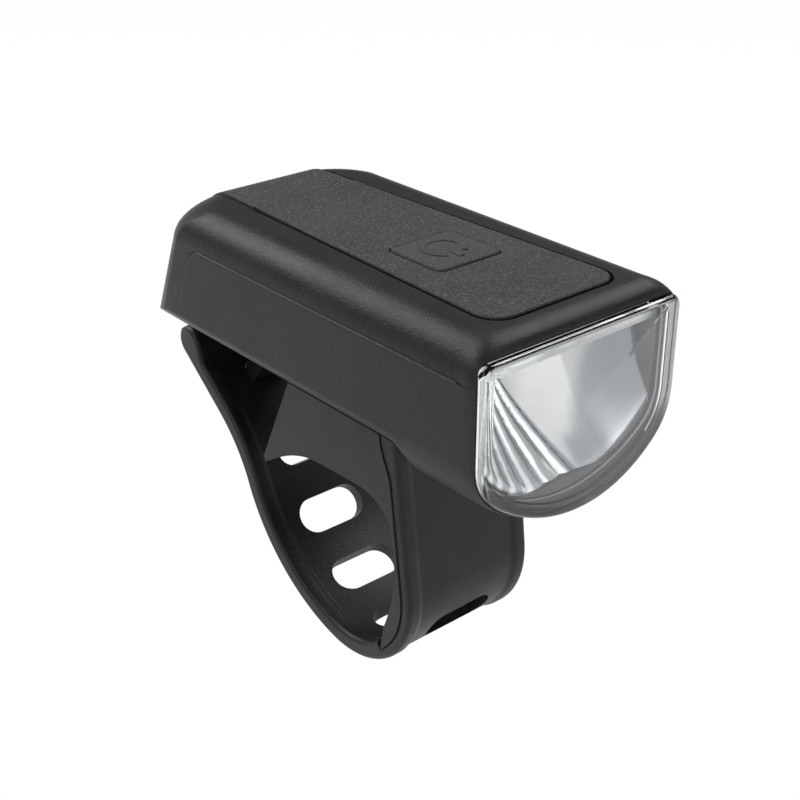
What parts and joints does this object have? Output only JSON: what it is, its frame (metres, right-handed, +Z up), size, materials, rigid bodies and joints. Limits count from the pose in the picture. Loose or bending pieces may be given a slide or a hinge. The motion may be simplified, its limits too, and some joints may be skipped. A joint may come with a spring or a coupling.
{
  "type": "bicycle headlight",
  "caption": "Rechargeable bicycle headlight: wedge-ended casing with clear front lens and reflector, rubber deck with power button, and a slotted rubber strap round the handlebar.",
  "frame": {"origin": "on the axis of the handlebar, at the middle of the saddle's width", "axes": "+X along the handlebar, -Y the way the beam goes, +Z up"},
  "size_m": [0.039, 0.0832, 0.0698],
  "materials": {
    "casing": "fine spark-eroded satin",
    "lower_casing": "fine spark-eroded satin",
    "clear_lens": "clear moulded polycarbonate",
    "seal_rubber": "soft black",
    "reflector_metal": "vacuum metallised",
    "apron_plastic": "matt grey",
    "aluminium": "milled",
    "lamp_board": "white solder mask",
    "lamp_phosphor": "yellow phosphor",
    "wire_sleeve": "red insulation",
    "circuit_board": "green solder mask",
    "chip_plastic": "moulded epoxy",
    "ferrite": "sintered grey",
    "ceramic": "fired ceramic",
    "tinned_steel": "tinned",
    "switch_plastic": "moulded",
    "plunger_plastic": "natural nylon",
    "cell_sleeve": "shrunk sleeve",
    "cradle_plastic": "moulded",
    "nickel": "nickel strip",
    "deck_rubber": "matt, fine speckle",
    "button_rubber": "matt, fine speckle",
    "mount_plastic": "moulded nylon",
    "strap_rubber": "matt black, dusty",
    "screw_steel": "zinc plated"
  },
  "bodies": {
    "light": {"upper_shell": "casing", "lower_shell": "lower_casing", "front_lens": "clear_lens", "lens_seal": "seal_rubber", "reflector": "reflector_metal", "reflector_apron": "apron_plastic", "heat_sink": "aluminium", "led_board": "lamp_board", "led_emitter": "lamp_phosphor", "led_leads": "wire_sleeve", "main_board": "circuit_board", "driver_chip": "chip_plastic", "choke_coil": "ferrite", "capacitors": "ceramic", "usb_socket": "tinned_steel", "switch_body": "switch_plastic", "battery_cell": "cell_sleeve", "battery_cradle": "cradle_plastic", "battery_tabs": "nickel", "top_pad": "deck_rubber", "mount_plate": "mount_plastic", "saddle_pad": "strap_rubber", "strap_front": "strap_rubber", "strap_pin": "screw_steel", "shell_screws": "screw_steel", "board_screws": "screw_steel", "reflector_screws": "screw_steel", "plate_screws": "screw_steel"},
    "strap_middle": {"strap_bottom": "strap_rubber"},
    "strap_end": {"strap_rear": "strap_rubber"},
    "button": {"power_button": "button_rubber", "switch_plunger": "plunger_plastic"},
    "cover": {"port_cover": "deck_rubber"}
  },
  "joints": [
    {"name": "strap_bend_front", "type": "hinge", "parent": "light", "child": "strap_middle", "pos_m": [0, -0.00738, -0.01845], "axis": [-1, 0, 0], "range_deg": [0, 70], "stiffness_Nm_per_rad": 0.012, "springref_deg": -20.05},
    {"name": "strap_bend_rear", "type": "hinge", "parent": "strap_middle", "child": "strap_end", "pos_m": [0, 0.01673, -0.01354], "axis": [-1, 0, 0], "range_deg": [0, 35], "stiffness_Nm_per_rad": 0.008, "springref_deg": -11.46},
    {"name": "button_press", "type": "slide", "parent": "light", "child": "button", "axis": [0, 0, -1], "range_m": [0, 0.0005], "stiffness_N_per_m": 3000, "springref_m": -0.0001},
    {"name": "cover_swing", "type": "hinge", "parent": "light", "child": "cover", "pos_m": [0, 0.0241, 0.04906], "axis": [1, 0, 0], "range_deg": [0, 110], "stiffness_Nm_per_rad": 0.003, "springref_deg": -5.73}
  ],
  "couplings": [
    {"joint": "strap_bend_rear", "follows": "strap_bend_front", "ratio": 0.5}
  ]
}
